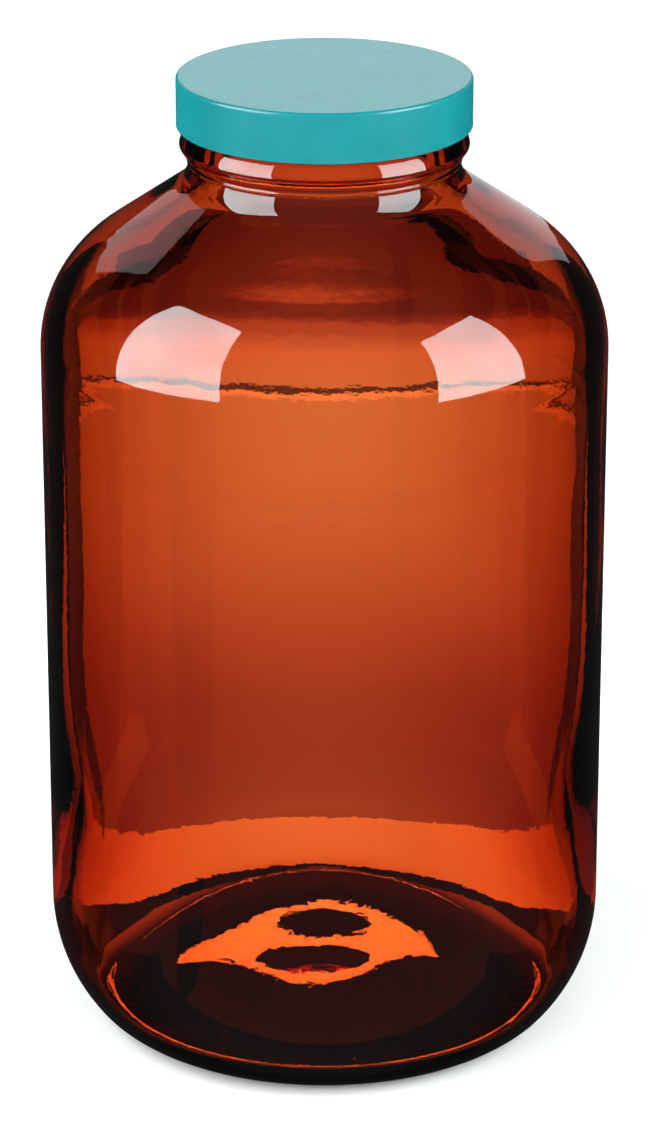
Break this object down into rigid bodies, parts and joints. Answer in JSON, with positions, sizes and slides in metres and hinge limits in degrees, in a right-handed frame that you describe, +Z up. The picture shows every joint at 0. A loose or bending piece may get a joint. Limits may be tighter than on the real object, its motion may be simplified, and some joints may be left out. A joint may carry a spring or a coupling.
{
  "type": "wide-mouth screw-cap bottle",
  "caption": "Amber glass wide-mouth packer bottle with a rounded shoulder and heel, a threaded neck, and a smooth teal screw cap with a two-layer liner.",
  "frame": {"origin": "centre of the bearing ring that the bottle stands on, at the bottom of the bounding box", "axes": "+Z up along the bottle's axis through the cap; +Y away from the viewer, +X to the right"},
  "size_m": [0.1406, 0.1406, 0.2468],
  "materials": {
    "amber_glass": "clear amber glass, fire polished, with slight waves and a ribbed bearing ring",
    "cap_plastic": "moulded teal plastic, satin sheen",
    "liner_foam": "white foamed polyethylene",
    "liner_film": "thin smooth fluoropolymer film"
  },
  "bodies": {
    "bottle": {"bottle": "amber_glass"},
    "liner": {"liner_facing": "liner_film", "liner_backing": "liner_foam"},
    "cap": {"cap_shell": "cap_plastic"}
  },
  "joints": [
    {"name": "cap_lift", "type": "slide", "parent": "bottle", "child": "liner", "axis": [0, 0, 1], "range_m": [0, 0.01271]},
    {"name": "cap_turn", "type": "hinge", "parent": "liner", "child": "cap", "pos_m": [0, 0, 0.24], "axis": [0, 0, 1], "range_deg": [0, 1080]}
  ],
  "couplings": [
    {"joint": "cap_lift", "follows": "cap_turn", "m_per_rad": 0.00067376}
  ]
}
